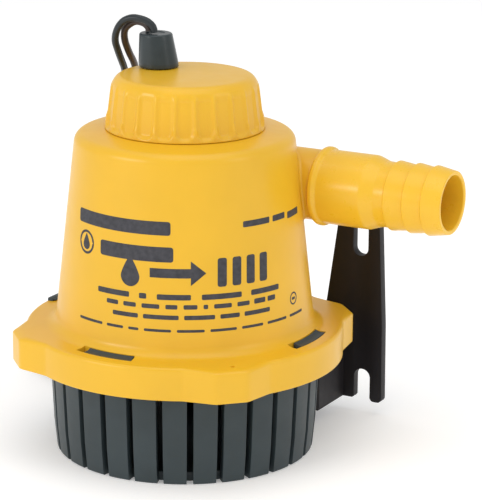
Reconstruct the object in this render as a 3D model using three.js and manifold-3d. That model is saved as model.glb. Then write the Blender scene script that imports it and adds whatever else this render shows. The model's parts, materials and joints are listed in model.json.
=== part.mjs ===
// Cartridge bilge pump: slotted strainer base, tapered housing with a bayonet ring and a side
// hose barb, a motor cartridge that lifts out of the top, and an upright screw bracket behind.
// Millimetres. +Z is up, the origin is on the pump axis under the strainer floor, +X is the
// outlet direction and +Y points to the bulkhead that the bracket is screwed to.
import * as THREE from 'three';
import Module from 'manifold-3d';
import { mergeVertices } from 'three/addons/utils/BufferGeometryUtils.js';

const wasm = await Module();
wasm.setup();

// ---------------------------------------------------------------- driving dimensions
const GAP = 0.3;                  // clearance between neighbouring pieces
const SEG_LARGE = 40;             // facets round the large, the medium and the small turned pieces
const SEG_MEDIUM = 24;
const SEG_SMALL = 10;
const SEG_SCREW = 12;

const RIBS = 28;                  // strainer ribs round the basket
const RIB_PITCH = 360 / RIBS;
const BASKET = { footR: 39.5, topR: 41.3, wall: 3.6, floor: 2.6, slotWidth: 2.0, slotTop: 28.4 };
const RIM = { z0: 29.4, z1: 31.6, r: 45.5 };
const HOOK = { r0: 41.4, r1: 44.1, stemHalf: 8.95, tipTo: 12.35, z0: 37.2, z1: 39.0 };

const RING = { r: 48.5, z0: 29, z1: 39, skirt: 2.6, plate: 3.2 };
const LUG = { r: 53, flatHalf: 5.3, footHalf: 16, z1: 38.7 };
const LUG_ANGLES = [45, 135, 225, 315];
const WINDOW = { r0: 41.0, r1: 44.5, half: 12.75, ledgeFrom: 9.35, ledgeTop: 36.9 };
const WINDOW_ANGLES = [-93.5, 0.5, 90];      // uneven, so that the housing goes on one way round
const NOTCH = { r0: 45.7, from: 172, to: 184.5 };
const NECK = { r: 22.2, z0: 93.0, z1: 99.6 };
const CHAMBER_R = 36.7;           // housing bore above the intake plate
const PLATE_SCREW_R = 34.2;
const INTAKE = { eyeR: 11.5, z0: 30.6, z1: 33.0 };
const OUTLET = { y: 24, z: 80.6, bossR: 10.8, bossX: 34.6, bossBoreR: 8.2 };
const SPIGOT = { r: 7.6, boreR: 5.4, x0: 24.9, grooveR: 6.3, grooveX0: 28.7, grooveX1: 30.7 };
const BARB = { collarR: 12.1, bodyR: 11.3, bodyX: 51.9, valleyR: 9.9, peakR: 10.6, tipR: 9.55, tipX: 77.7 };
const BARB_PEAKS = [59.6, 65.8, 71.8];
const BARB_BORE_R = 8.25;

const CAP = { z0: 100.0, skirtR: 24.0, topZ: 116.0, boreR: 20.7, flutes: 24 };
const FLUTE_R = 3.0;
const GLAND = { x: -11.7, y: 4.45, seatZ: 116.2, topZ: 126.4, baseR: 6.05, topR: 4.95, neckR: 3.7 };
const GLAND_LEAN = { x: -0.78, y: -0.45 };

const CASING = { r: 21.0, neckR: 21.7, wall: 2.0, z0: 46.0, neckZ: 99.4, z1: 104.0 };
const CAN = { r: 18.6, wall: 1.2, z0: 54.4, z1: 91.6 };
const SHAFT_R = 1.6;
const BORE_R = SHAFT_R + GAP;

const PLATE = { y0: 50, y1: 53, topZ: 78 };
const PLATE_SLOT = { x: 35.1, halfWidth: 2.6, z0: 54.8, z1: 66.0 };
const SADDLE = { r0: 41.5, r1: 43.9, z0: 6, z1: 24, half: 44 };
const ARM = { x0: 26.8, x1: 29.8, z0: 5, z1: 27 };
const BRACKET_SCREW_Z = 15;
const PIN = { x: -46, z: 20.5, r: 1.0, earY: 5.7 };

const LEAD_D = 2.2;
const COIL = { x: -63, y: 48, r0: 9.4, r1: 18.6, height: 9.1 };

// ---------------------------------------------------------------- materials
const finish = (color, roughness, metalness = 0) => ({ color, roughness, metalness });
const YELLOW = finish(0xf6c53e, 0.38);
const SLATE = finish(0x424b4e, 0.55);
const BLACK = finish(0x231f20, 0.5);
const RUBBER = finish(0x3c4649, 0.7);
const BROWN = finish(0x4b3c34, 0.55);
const STEEL = finish(0xb4b8bc, 0.3, 0.9);
const ZINC = finish(0x9aa0a4, 0.4, 0.8);
const COPPER = finish(0xb8703a, 0.35, 0.9);
const BRASS = finish(0xc9a450, 0.35, 0.9);
const FERRITE = finish(0x3a3a3c, 0.8);
const WHITE = finish(0xe6e2d8, 0.6);

// ---------------------------------------------------------------- shape helpers
const rad = THREE.MathUtils.degToRad;
const polar = (r, degrees) => [r * Math.cos(rad(degrees)), r * Math.sin(rad(degrees))];

// A closed, outward-facing solid from any closed geometry.
function solid(geometry) {
  const bare = geometry.clone();
  bare.deleteAttribute('normal');
  bare.deleteAttribute('uv');
  const merged = mergeVertices(bare, 1e-4);
  const place = merged.attributes.position.array;
  const faces = [];
  let volume = 0;
  for (let i = 0; i < merged.index.count; i += 3) {
    const [a, b, c] = [0, 1, 2].map((k) => merged.index.getX(i + k));
    if (a === b || b === c || c === a) continue;
    const [p, q, r] = [a, b, c].map((k) => new THREE.Vector3().fromArray(place, 3 * k));
    volume += p.dot(q.cross(r));
    faces.push([a, b, c]);
  }
  const triangles = volume < 0 ? faces.map(([a, b, c]) => [a, c, b]) : faces;
  return new wasm.Manifold(new wasm.Mesh({
    numProp: 3,
    vertProperties: new Float32Array(place),
    triVerts: new Uint32Array(triangles.flat()),
  }));
}

// Revolves a profile of [radius, height] pairs about Z.
function turned(profile, segments = SEG_MEDIUM) {
  const onAxis = profile[0][0] === 0;
  const points = (onAxis ? profile : [...profile, profile[0]]).map(([r, z]) => new THREE.Vector2(r, z));
  return new THREE.LatheGeometry(points, segments).rotateX(Math.PI / 2);
}

const ringProfile = (r0, r1, z0, z1) => [[r0, z0], [r1, z0], [r1, z1], [r0, z1]];
const rod = (r, z0, z1) => [[0, z0], [r, z0], [r, z1], [0, z1]];

// A profile of [x, y] pairs raised from z0 to z1.
function raised(outline, z0, z1) {
  const shape = new THREE.Shape(outline.map(([x, y]) => new THREE.Vector2(x, y)));
  return new THREE.ExtrudeGeometry(shape, { depth: z1 - z0, bevelEnabled: false }).translate(0, 0, z0);
}

// The same in the XZ plane, running from y0 to y1.
function raisedAlongY(outline, y0, y1) {
  return raised(outline, -y1, -y0).rotateX(Math.PI / 2);
}

// A sector of a ring between two angles in degrees.
function sector(r0, r1, from, to, z0, z1, steps = 6) {
  const angles = Array.from({ length: steps + 1 }, (_, i) => from + (to - from) * i / steps);
  const outer = angles.map((a) => polar(r1, a));
  const inner = angles.map((a) => polar(r0, a)).reverse();
  return raised([...outer, ...inner], z0, z1);
}

function block(x0, x1, y0, y1, z0, z1) {
  return new THREE.BoxGeometry(x1 - x0, y1 - y0, z1 - z0)
    .translate((x0 + x1) / 2, (y0 + y1) / 2, (z0 + z1) / 2);
}

const spin = (geometry, degrees) => geometry.rotateZ(rad(degrees));
const alongX = (geometry) => geometry.rotateY(Math.PI / 2);
const alongY = (geometry) => geometry.rotateX(-Math.PI / 2);

function joined(...geometries) {
  return geometries.map(solid).reduce((sum, next) => sum.add(next));
}

// A round cord or wire through a list of [x, y, z] points.
function wire(points, diameter, steps, sides = 8) {
  const stations = points.map((p) => new THREE.Vector3(...p));
  const curve = new THREE.CatmullRomCurve3(stations, false, 'centripetal');
  const section = new THREE.Shape(Array.from({ length: sides }, (_, i) =>
    new THREE.Vector2(...polar(diameter / 2, 360 * i / sides))));
  return new THREE.ExtrudeGeometry(section, { steps, extrudePath: curve, bevelEnabled: false });
}

const group = new THREE.Group();

function addPiece(name, look, shape) {
  let body = shape;
  if (shape.isBufferGeometry) body = solid(shape);
  const { vertProperties, triVerts, numProp } = body.getMesh();
  if (numProp !== 3) throw new Error(`${name} carries extra vertex data`);
  const geometry = new THREE.BufferGeometry();
  geometry.setAttribute('position', new THREE.BufferAttribute(vertProperties, 3));
  geometry.setIndex(new THREE.BufferAttribute(triVerts, 1));
  const mesh = new THREE.Mesh(geometry, new THREE.MeshStandardMaterial(look));
  mesh.name = name;
  group.add(mesh);
}

// ---------------------------------------------------------------- strainer base
function strainerBasket() {
  const { footR, topR, wall, floor, slotWidth, slotTop } = BASKET;
  const innerR = topR - wall;
  let basket = solid(turned([
    [0, 0], [footR, 0], [footR + 0.9, 9], [topR, 28.8], [topR, RIM.z0], [RIM.r, RIM.z0], [RIM.r, RIM.z1],
    [39.4, RIM.z1], [39.4, 29.8], [innerR, 29.8], [innerR - 1.2, floor], [0, floor],
  ], RIBS * 2));
  const slot = block(footR - 3.5, topR + 2, -slotWidth / 2, slotWidth / 2, -1, slotTop);
  for (let i = 0; i < RIBS; i += 1) {
    basket = basket.subtract(solid(spin(slot.clone(), RIB_PITCH * (i + 0.5))));
  }
  for (const turn of WINDOW_ANGLES) {
    const { r0, r1, stemHalf, tipTo, z0, z1 } = HOOK;
    const stem = sector(r0, r1, turn - stemHalf, turn + stemHalf, RIM.z1 - 0.5, z1, 4);
    const tip = sector(r0, r1, turn + stemHalf - 0.5, turn + tipTo, z0, z1, 2);
    basket = basket.add(solid(stem)).add(solid(tip));
  }
  for (const side of [1, -1]) {
    const ear = block(-47.8, -40.4, side * PIN.earY - 1, side * PIN.earY + 1, PIN.z - 2.7, PIN.z + 2.7);
    basket = basket.add(solid(ear));
  }
  basket = basket.subtract(solid(alongLatchPin(rod(PIN.r + GAP, -8, 8))));
  for (const angle of screwAngles()) {
    basket = basket.subtract(solid(screwHole(2.0, angle)));
  }
  return basket;
}

// The two bracket screws go through solid ribs of the basket.
function screwAngles() {
  return [5, 9].map((rib) => rib * RIB_PITCH);
}

function screwHole(r, angle) {
  return spin(alongX(turned(rod(r, 30, 50), SEG_SMALL)).translate(0, 0, BRACKET_SCREW_Z), angle);
}

// A turned piece on the axis of the latch pin.
function alongLatchPin(profile) {
  return alongY(turned(profile, SEG_SMALL)).translate(PIN.x, 0, PIN.z);
}

// ---------------------------------------------------------------- release latch
function releaseLatch() {
  const arm = raisedAlongY([
    [-47.9, 18.3], [-45.2, 18.3], [-43.9, 19.6], [-43.9, 21.4], [-45.2, 22.7], [-46.1, 23.4],
    [-46.1, 39.35], [-44.9, 39.35], [-44.9, 39.6], [-46.2, 40.05], [-47.9, 40.05],
  ], -3.2, 3.2);
  return solid(arm).subtract(solid(alongLatchPin(rod(PIN.r + GAP, -6, 6))));
}

// ---------------------------------------------------------------- bracket
function mountingBracket() {
  const plateHalf = [
    [0, 8], [26.5, 8], [28.3, 4.9], [33.5, 4.9], [33.5, 12.1], [34.3, 14.1], [36.3, 14.9], [38.3, 14.1],
    [39.1, 12.1], [39.1, 4.4], [43.2, 4.4], [43.0, 30], [41.6, 61], [40.9, 75], [38.4, PLATE.topZ],
    [31.4, PLATE.topZ], [28.8, 75.4], [26.8, 60.5], [23.6, 37], [22.3, 32.6], [18.5, 31], [0, 31],
  ];
  const mirrored = plateHalf.slice(1, -1).map(([x, z]) => [-x, z]).reverse();
  let bracket = solid(raisedAlongY([...plateHalf, ...mirrored], PLATE.y0, PLATE.y1));
  for (const side of [1, -1]) {
    const { x, halfWidth, z0, z1 } = PLATE_SLOT;
    const round = () => alongY(turned(rod(halfWidth, 45, 58), SEG_SMALL));
    const slotEnds = [z0, z1].map((z) => round().translate(side * x, 0, z));
    const slotMiddle = block(side * x - halfWidth, side * x + halfWidth, 45, 58, z0, z1);
    bracket = bracket.subtract(joined(...slotEnds, slotMiddle));
    const arm = block(ARM.x0, ARM.x1, 32.2, PLATE.y0 + 1, ARM.z0, ARM.z1);
    if (side < 0) arm.translate(-ARM.x0 - ARM.x1, 0, 0);
    bracket = bracket.add(solid(arm));
  }
  const { r0, r1, half, z0, z1 } = SADDLE;
  bracket = bracket.add(solid(sector(r0, r1, 90 - half, 90 + half, z0, z1, 16)));
  for (const angle of screwAngles()) {
    bracket = bracket.subtract(solid(screwHole(1.9, angle)));
  }
  return bracket;
}

function bracketScrew(angle) {
  const screw = turned([
    [0, 34.0], [1.2, 34.0], [3.1, 35.2], [3.1, 36.4], [1.5, 36.4], [1.5, 46.0], [0.8, 47.4], [0, 47.4],
  ], SEG_SMALL);
  return spin(alongX(screw).translate(0, 0, BRACKET_SCREW_Z), angle);
}

// ---------------------------------------------------------------- housing
function pumpHousing() {
  const inner = RING.r - RING.skirt;
  const underPlate = RING.z1 - RING.plate;
  let housing = solid(turned([
    [inner, RING.z0], [RING.r, RING.z0], [RING.r, 37.6], [47.4, RING.z1], [41.4, 39.2], [39.6, 40.8],
    [38.9, 44.8], [37.3, 60], [35.0, 80], [33.4, 95], [32.7, 97.3], [31.3, 98.4], [24.6, NECK.z1],
    [NECK.r, NECK.z1], [NECK.r, NECK.z0], [24.4, NECK.z0], [24.6, 96.4], [30.0, 95.6], [31.1, 94.4],
    [32.6, 80], [34.9, 60], [CHAMBER_R, 42], [CHAMBER_R, 30.2], [38.9, 30.2], [38.9, underPlate],
    [inner, underPlate],
  ], SEG_LARGE));
  for (const middle of LUG_ANGLES) {
    const [flat, foot] = [LUG.flatHalf, LUG.footHalf];
    const outline = [
      [46.9, -foot], [RING.r, -foot], [LUG.r, -flat], [LUG.r, flat], [RING.r, foot], [46.9, foot],
      [46.9, foot / 2], [46.9, 0], [46.9, -foot / 2],
    ];
    const lug = raised(outline.map(([r, a]) => polar(r, a + middle)), RING.z0, LUG.z1);
    housing = housing.add(solid(lug));
  }
  for (const turn of WINDOW_ANGLES) {
    const { r0, r1, half, ledgeFrom, ledgeTop } = WINDOW;
    const above = RING.z1 + 3;
    const open = sector(r0, r1, turn - half, turn + ledgeFrom, underPlate - 1, above);
    const recess = sector(r0, r1, turn + ledgeFrom - 1, turn + half, ledgeTop, above, 2);
    housing = housing.subtract(solid(open)).subtract(solid(recess));
  }
  const notch = sector(NOTCH.r0, LUG.r, NOTCH.from, NOTCH.to, RING.z0 - 1, RING.z1 + 2, 3);
  housing = housing.subtract(solid(notch));
  const bore = alongX(turned(rod(OUTLET.bossBoreR, 4, 60), SEG_MEDIUM));
  housing = housing.add(outletBoss());
  housing = housing.subtract(solid(bore.translate(0, OUTLET.y, OUTLET.z)));
  for (const angle of plateScrewAngles()) {
    const [x, y] = polar(PLATE_SCREW_R, angle);
    housing = housing.add(solid(turned(rod(2.9, 34, 44), SEG_SCREW).translate(x, y, 0)));
    housing = housing.subtract(solid(turned(rod(1.5, 33, 42), SEG_SCREW).translate(x, y, 0)));
  }
  return housing;
}

// The outlet leaves the round chamber as a tangent, flush with the wall on its far side.
function outletBoss() {
  const boss = alongX(turned(rod(OUTLET.bossR, 4, OUTLET.bossX), SEG_MEDIUM));
  const chamber = turned([[0, 60], [35.4, 60], [33.1, 80], [31.6, 94.4], [0, 94.4]], SEG_LARGE);
  return solid(boss.translate(0, OUTLET.y, OUTLET.z)).subtract(solid(chamber));
}

function plateScrewAngles() {
  return [30, 150, 270];
}

function intakePlate() {
  const outerR = CHAMBER_R - GAP - 0.1;
  const { eyeR, z0, z1 } = INTAKE;
  let plate = solid(turned([
    [eyeR, z0], [outerR, z0], [outerR, z1], [eyeR + 1.5, z1], [eyeR, z1 - 0.8],
  ], SEG_MEDIUM));
  for (const angle of plateScrewAngles()) {
    const [x, y] = polar(PLATE_SCREW_R, angle);
    plate = plate.subtract(solid(turned(rod(1.5, 30, 34), SEG_SCREW).translate(x, y, 0)));
  }
  return plate;
}

function plateScrew(angle) {
  const [x, y] = polar(PLATE_SCREW_R, angle);
  return turned([
    [0, 28.9], [1.8, 28.9], [2.1, 29.4], [2.1, 30.3], [1.15, 30.3], [1.15, 40.5], [0, 41.5],
  ], SEG_SCREW).translate(x, y, 0);
}

// ---------------------------------------------------------------- hose barb
function dischargeBarb() {
  const { collarR, bodyR, bodyX, valleyR, peakR, tipR, tipX } = BARB;
  const { r, boreR, x0, grooveR, grooveX0, grooveX1 } = SPIGOT;
  const collarX = OUTLET.bossX + GAP;
  const barbs = BARB_PEAKS.flatMap((x) => [[valleyR, x - 0.5], [peakR, x]]);
  return alongX(turned([
    [boreR, x0], [r, x0], [r, grooveX0], [grooveR, grooveX0], [grooveR, grooveX1], [r, grooveX1],
    [r, collarX], [collarR - 0.4, collarX], [collarR, collarX + 0.5], [collarR, collarX + 1.6],
    [bodyR, collarX + 2.4], [bodyR, bodyX], [valleyR, bodyX + 3.8], ...barbs, [tipR, tipX],
    [BARB_BORE_R, tipX], [BARB_BORE_R, collarX + 4.1], [boreR, collarX + 1.6],
  ], SEG_MEDIUM)).translate(0, OUTLET.y, OUTLET.z);
}

function oRing(centreR, height, sectionR, segments = SEG_MEDIUM) {
  const circle = Array.from({ length: 6 }, (_, i) => {
    const [r, z] = polar(sectionR, 60 * i);
    return [centreR + r, height + z];
  });
  return turned(circle, segments);
}

// ---------------------------------------------------------------- cartridge: cap, gland, casing
function cartridgeCap() {
  const { z0, skirtR, boreR, flutes } = CAP;
  let cap = solid(turned([
    [0, CAP.topZ], [15, 115.9], [19.6, 115.6], [21.2, 114.9], [22.1, 113.6], [22.4, 112.3], [23.4, 103.6],
    [skirtR, 103.3], [skirtR, z0], [boreR, z0], [boreR, 111.2], [19.8, 112.4], [18.3, 112.8], [0, 113.1],
  ], SEG_LARGE));
  for (let i = 0; i < flutes; i += 1) {
    const flute = turned([[0, -7], [FLUTE_R, -5.6], [FLUTE_R, 5], [0, 6]], 6);
    flute.rotateY(rad(-6.3)).translate(25.6, 0, 107.4);
    cap = cap.subtract(solid(spin(flute, 360 * i / flutes)));
  }
  const hole = turned(rod(GLAND.neckR + GAP, 105, 120), SEG_SMALL).translate(GLAND.x, GLAND.y, 0);
  return cap.subtract(solid(hole));
}

function cableGland() {
  const { x, y, seatZ, topZ, baseR, topR, neckR } = GLAND;
  const gland = turned([
    [0, 110.6], [5.0, 110.6], [5.0, 112.5], [neckR, 112.5], [neckR, seatZ], [baseR, seatZ],
    [baseR - 0.1, seatZ + 1.5], [topR, topZ - 0.5], [topR - 0.4, topZ], [0, topZ],
  ], 24);
  const place = gland.attributes.position;
  for (let i = 0; i < place.count; i += 1) {
    const rise = Math.max(0, (place.getZ(i) - seatZ) / (topZ - seatZ));
    place.setXY(i, place.getX(i) + x + rise * GLAND_LEAN.x, place.getY(i) + y + rise * GLAND_LEAN.y);
  }
  return gland;
}

function motorCasing() {
  const { r, neckR, wall, z0, neckZ, z1 } = CASING;
  return turned([
    [2.6, z0], [r, z0], [r, 92.6], [neckR, 92.9], [neckR, 94.7], [20.5, 94.7], [20.5, 96.7],
    [neckR, 96.7], [neckR, neckZ], [20.3, neckZ], [20.3, z1], [r - wall, z1], [r - wall, z0 + 3],
    [9, z0 + 3], [9, 54], [6.4, 54], [6.4, 48.2], [2.6, 48.2],
  ], 32);
}

function shaftSeal() {
  return turned([
    [BORE_R, 49.2], [3.0, 48.5], [6.1, 48.5], [6.1, 51.8], [5.0, 51.8], [BORE_R, 50.2],
  ], 16);
}

// ---------------------------------------------------------------- motor
function motorCan() {
  const { r, wall, z0, z1 } = CAN;
  return turned([
    [2.4, z0], [r, z0], [r, z1], [r - wall, z1], [r - wall, z0 + 1.4], [5.4, z0 + 1.4], [5.4, 58.4],
    [4.3, 58.4], [4.3, z0 + 1.4], [2.4, z0 + 1.4],
  ], SEG_MEDIUM);
}

const POLES = 5;
const CORE = { r: 12.6, z0: 62, z1: 83 };

function armatureCore() {
  let core = solid(turned(ringProfile(BORE_R, CORE.r, CORE.z0, CORE.z1), 30));
  for (let i = 0; i < POLES; i += 1) {
    const pocket = joined(block(6.1, 11.2, -2.6, 2.6, 60, 85), block(10, 14, -1.0, 1.0, 60, 85));
    core = core.subtract(pocket.rotate([0, 0, 360 * i / POLES]));
  }
  return core;
}

function windings() {
  const headDepth = 2.8;
  const heads = [CORE.z0 - GAP - headDepth, CORE.z1 + GAP].map((z) =>
    turned(ringProfile(5.0, 10.9, z, z + headDepth), 20));
  let copper = joined(...heads);
  for (let i = 0; i < POLES; i += 1) {
    copper = copper.add(solid(spin(block(6.4, 10.8, -2.3, 2.3, 60, 85), 360 * i / POLES)));
  }
  return copper;
}

function commutator() {
  let bars = solid(turned([
    [BORE_R, 86.5], [5.2, 86.5], [5.2, 87.3], [4.6, 87.3], [4.6, 91.6], [BORE_R, 91.6],
  ], 20));
  for (let i = 0; i < POLES; i += 1) {
    bars = bars.subtract(solid(spin(block(3.9, 6, -0.25, 0.25, 86, 92), 360 * (i + 0.5) / POLES)));
  }
  return bars;
}

function magnet(middle) {
  return sector(13.3, 17.1, middle - 62, middle + 62, 60, 86, 14);
}

function brushCard() {
  const disc = turned(ringProfile(5.2, 18.3, 91.9, 93.9), SEG_MEDIUM);
  const bearingSeat = turned(ringProfile(4.3, 6.2, 92.5, 97.0), 16);
  let card = joined(disc, bearingSeat);
  for (const side of [90, 270]) {
    for (const cheek of [-1, 1]) {
      const wall = block(5.6, 15.0, cheek * 2.5 - 0.6, cheek * 2.5 + 0.6, 87.0, 92.4);
      card = card.add(solid(spin(wall, side)));
    }
    card = card.add(solid(spin(block(14.2, 15.6, -3.1, 3.1, 87.0, 92.4), side)));
  }
  return card;
}

const brush = (side) => spin(block(4.9, 9.6, -1.6, 1.6, 87.6, 91.4), side);

function brushSpring(side) {
  const turns = 4;
  const points = Array.from({ length: turns * 8 + 1 }, (_, i) => {
    const [y, z] = polar(1.1, 45 * i);
    return [10.1 + 3.4 * i / (turns * 8), y, 89.5 + z];
  });
  return spin(wire(points, 0.4, turns * 6, 4), side);
}

function terminal(side) {
  const middle = 12 * side;
  const blade = block(-2, 2, middle - 0.4, middle + 0.4, 94.2, 100.5);
  const foot = block(-2, 2, middle - 1.8, middle + 1.8, 94.2, 94.9);
  return joined(blade, foot);
}

// ---------------------------------------------------------------- rotor
function impeller() {
  const vanes = 6;
  const [z0, z1] = [34.2, 44.4];
  const hub = turned(ringProfile(BORE_R, 4.6, z0, z1 + 0.8), SEG_MEDIUM);
  const shroud = turned(ringProfile(BORE_R, 20, z1 - 1.8, z1), SEG_MEDIUM);
  let wheel = joined(hub, shroud);
  const sweep = (r) => -70 * (r - 4) / 15.6;
  const radii = [4, 7.9, 11.8, 15.7, 19.6];
  for (let i = 0; i < vanes; i += 1) {
    const edge = (offset) => radii.map((r) => polar(r, 60 * i + sweep(r) + offset * 180 / (Math.PI * r)));
    wheel = wheel.add(solid(raised([...edge(-0.8), ...edge(0.8).reverse()], z0, z1 - 1)));
  }
  return wheel;
}

// ---------------------------------------------------------------- leads
const LEAD_ROUTES = {
  black: [
    [-12.3, 2.8, 126.7], [-12.6, 2.7, 128.3], [-14.1, 2.3, 129.8], [-16.5, 1.8, 130.6],
    [-19.3, 1.5, 130.7], [-22.0, 1.3, 129.6], [-24.2, 1.5, 127.3], [-25.7, 2.3, 124.4],
    [-26.3, 3.3, 122.2], [-26.5, 4.6, 120.2], [-26.9, 6.6, 117.7], [-27.6, 9.2, 115.1],
    [-28.5, 11.9, 112.7], [-30.4, 15.5, 109.6], [-33.3, 19.5, 105.1], [-36.6, 23.3, 99.5],
    [-39.2, 26.4, 92.9], [-42.2, 30.4, 80.0], [-43.4, 32.6, 64.0], [-43.6, 33.2, 46.0],
    [-43.8, 33.6, 28.0], [-44.0, 34.2, 16.0], [-44.1, 35.4, 8.8], [-44.3, 37.8, 4.2],
  ],
  brown: [
    [-14.9, 4.2, 126.7], [-15.1, 4.2, 127.6], [-16.1, 4.2, 128.6], [-17.8, 4.1, 129.2],
    [-19.9, 4.0, 129.1], [-21.8, 3.9, 128.0], [-23.3, 4.2, 126.6], [-24.2, 5.0, 124.7],
    [-24.6, 6.1, 122.4], [-25.0, 8.0, 120.0], [-25.5, 10.4, 117.5], [-26.2, 13.3, 115.1],
    [-27.3, 16.3, 112.6], [-29.2, 19.6, 109.3], [-32.1, 23.1, 105.2], [-35.3, 26.4, 99.8],
    [-38.1, 29.4, 93.1], [-40.6, 33.0, 80.0], [-41.4, 35.2, 64.0], [-41.6, 35.8, 46.0],
    [-41.8, 36.2, 30.0], [-42.2, 36.8, 20.0], [-42.8, 37.8, 13.0], [-43.6, 39.6, 9.0],
  ],
};

const INNER_WIRES = {
  black: [[0, -12, 101.6], [-1, -11.4, 105], [-6, -6, 108.2], [-9.8, 1.0, 108.8], [-10.8, 3.2, 109.6]],
  brown: [[0, 12, 101.6], [-1, 12, 105], [-6, 10.6, 108.2], [-11.6, 7.4, 108.8], [-12.4, 5.6, 109.6]],
};

function leadCoil() {
  const section = ringProfile(COIL.r0, COIL.r1, 0, COIL.height);
  return turned(section, SEG_MEDIUM).translate(COIL.x, COIL.y, 0);
}

function coilTie() {
  const [x0, x1] = [COIL.r0 - 1.4, COIL.r1 + 1.4];
  const band = solid(block(x0, x1, -2, 2, 0, COIL.height + 1.0));
  const hollow = solid(block(COIL.r0 - GAP, COIL.r1 + GAP, -4, 4, -2, COIL.height + GAP));
  return band.subtract(hollow).rotate([0, 0, 40]).translate([COIL.x, COIL.y, 0]);
}

// ---------------------------------------------------------------- the assembly
addPiece('strainer_basket', SLATE, strainerBasket());
addPiece('mounting_bracket', BLACK, mountingBracket());
addPiece('bracket_screw_left', ZINC, bracketScrew(screwAngles()[1]));
addPiece('bracket_screw_right', ZINC, bracketScrew(screwAngles()[0]));
addPiece('release_latch', SLATE, releaseLatch());
addPiece('latch_pin', STEEL, alongLatchPin(rod(PIN.r, -7.2, 7.2)));

addPiece('pump_housing', YELLOW, pumpHousing());
addPiece('intake_plate', SLATE, intakePlate());
plateScrewAngles().forEach((angle, i) => addPiece(`plate_screw_${i + 1}`, STEEL, plateScrew(angle)));
addPiece('discharge_barb', YELLOW, dischargeBarb());
addPiece('barb_o_ring', RUBBER, alongX(oRing(7.25, 29.7, 0.6, 16)).translate(0, OUTLET.y, OUTLET.z));

addPiece('cartridge_cap', YELLOW, cartridgeCap());
addPiece('cable_gland', RUBBER, cableGland());
addPiece('cartridge_o_ring', RUBBER, oRing(21.35, 95.7, 0.55));
addPiece('motor_casing', WHITE, motorCasing());
addPiece('motor_can', ZINC, motorCan());
addPiece('magnet_right', FERRITE, magnet(0));
addPiece('magnet_left', FERRITE, magnet(180));
addPiece('lower_bushing', BRASS, turned(ringProfile(BORE_R, 4.0, 56.1, 58.6), 16));
addPiece('upper_bushing', BRASS, turned(ringProfile(BORE_R, 4.0, 94.0, 97.0), 16));
addPiece('shaft_seal', RUBBER, shaftSeal());
addPiece('seal_retainer', STEEL, turned(ringProfile(3.2, 6.1, 52.1, 53.3), 16));
addPiece('brush_card', BLACK, brushCard());
addPiece('brush_rear', FERRITE, brush(90));
addPiece('brush_front', FERRITE, brush(270));
addPiece('brush_spring_rear', STEEL, brushSpring(90));
addPiece('brush_spring_front', STEEL, brushSpring(270));
addPiece('terminal_black', BRASS, terminal(-1));
addPiece('terminal_brown', BRASS, terminal(1));
addPiece('inner_wire_black', BLACK, wire(INNER_WIRES.black, 1.6, 10, 6));
addPiece('inner_wire_brown', BROWN, wire(INNER_WIRES.brown, 1.6, 10, 6));

addPiece('motor_shaft', STEEL, turned(rod(SHAFT_R, 32.0, 96.0), 16));
addPiece('armature_core', ZINC, armatureCore());
addPiece('windings', COPPER, windings());
addPiece('commutator', COPPER, commutator());
addPiece('impeller', WHITE, impeller());
addPiece('impeller_nut', BRASS, turned(ringProfile(BORE_R, 3.3, 32.6, 33.9), 6));

addPiece('lead_black', BLACK, wire(LEAD_ROUTES.black, LEAD_D, 36));
addPiece('lead_brown', BROWN, wire(LEAD_ROUTES.brown, LEAD_D, 36));
addPiece('lead_coil', BLACK, leadCoil());
addPiece('coil_tie', BLACK, coilTie());

export default group;
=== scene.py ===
"""Looks for a small cartridge bilge pump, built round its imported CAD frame.

Lengths in this file are millimetres unless a name says otherwise; MM turns them into metres.
The pump stands on its strainer at the origin, its outlet points to +X and its bracket is at +Y.
"""

import json
import math

import bmesh
import bpy
import numpy as np
from mathutils import Matrix, Vector


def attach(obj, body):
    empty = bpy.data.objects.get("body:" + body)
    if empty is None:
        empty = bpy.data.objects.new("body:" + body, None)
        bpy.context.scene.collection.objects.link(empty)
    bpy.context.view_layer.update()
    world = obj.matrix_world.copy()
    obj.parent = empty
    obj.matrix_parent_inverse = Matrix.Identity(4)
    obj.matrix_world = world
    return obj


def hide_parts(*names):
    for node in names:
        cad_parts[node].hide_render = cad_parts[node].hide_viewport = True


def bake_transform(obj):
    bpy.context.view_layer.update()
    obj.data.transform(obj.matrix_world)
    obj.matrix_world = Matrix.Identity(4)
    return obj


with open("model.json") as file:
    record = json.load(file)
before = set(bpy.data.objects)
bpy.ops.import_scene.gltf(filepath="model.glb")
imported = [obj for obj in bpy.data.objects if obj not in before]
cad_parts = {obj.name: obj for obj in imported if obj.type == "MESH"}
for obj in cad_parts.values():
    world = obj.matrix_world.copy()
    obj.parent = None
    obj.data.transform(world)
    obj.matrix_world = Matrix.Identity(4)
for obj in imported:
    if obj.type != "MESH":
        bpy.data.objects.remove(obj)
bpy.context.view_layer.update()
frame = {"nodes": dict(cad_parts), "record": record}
NODES = frame["nodes"]
MM = 0.001
TAU = 2 * math.pi

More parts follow.
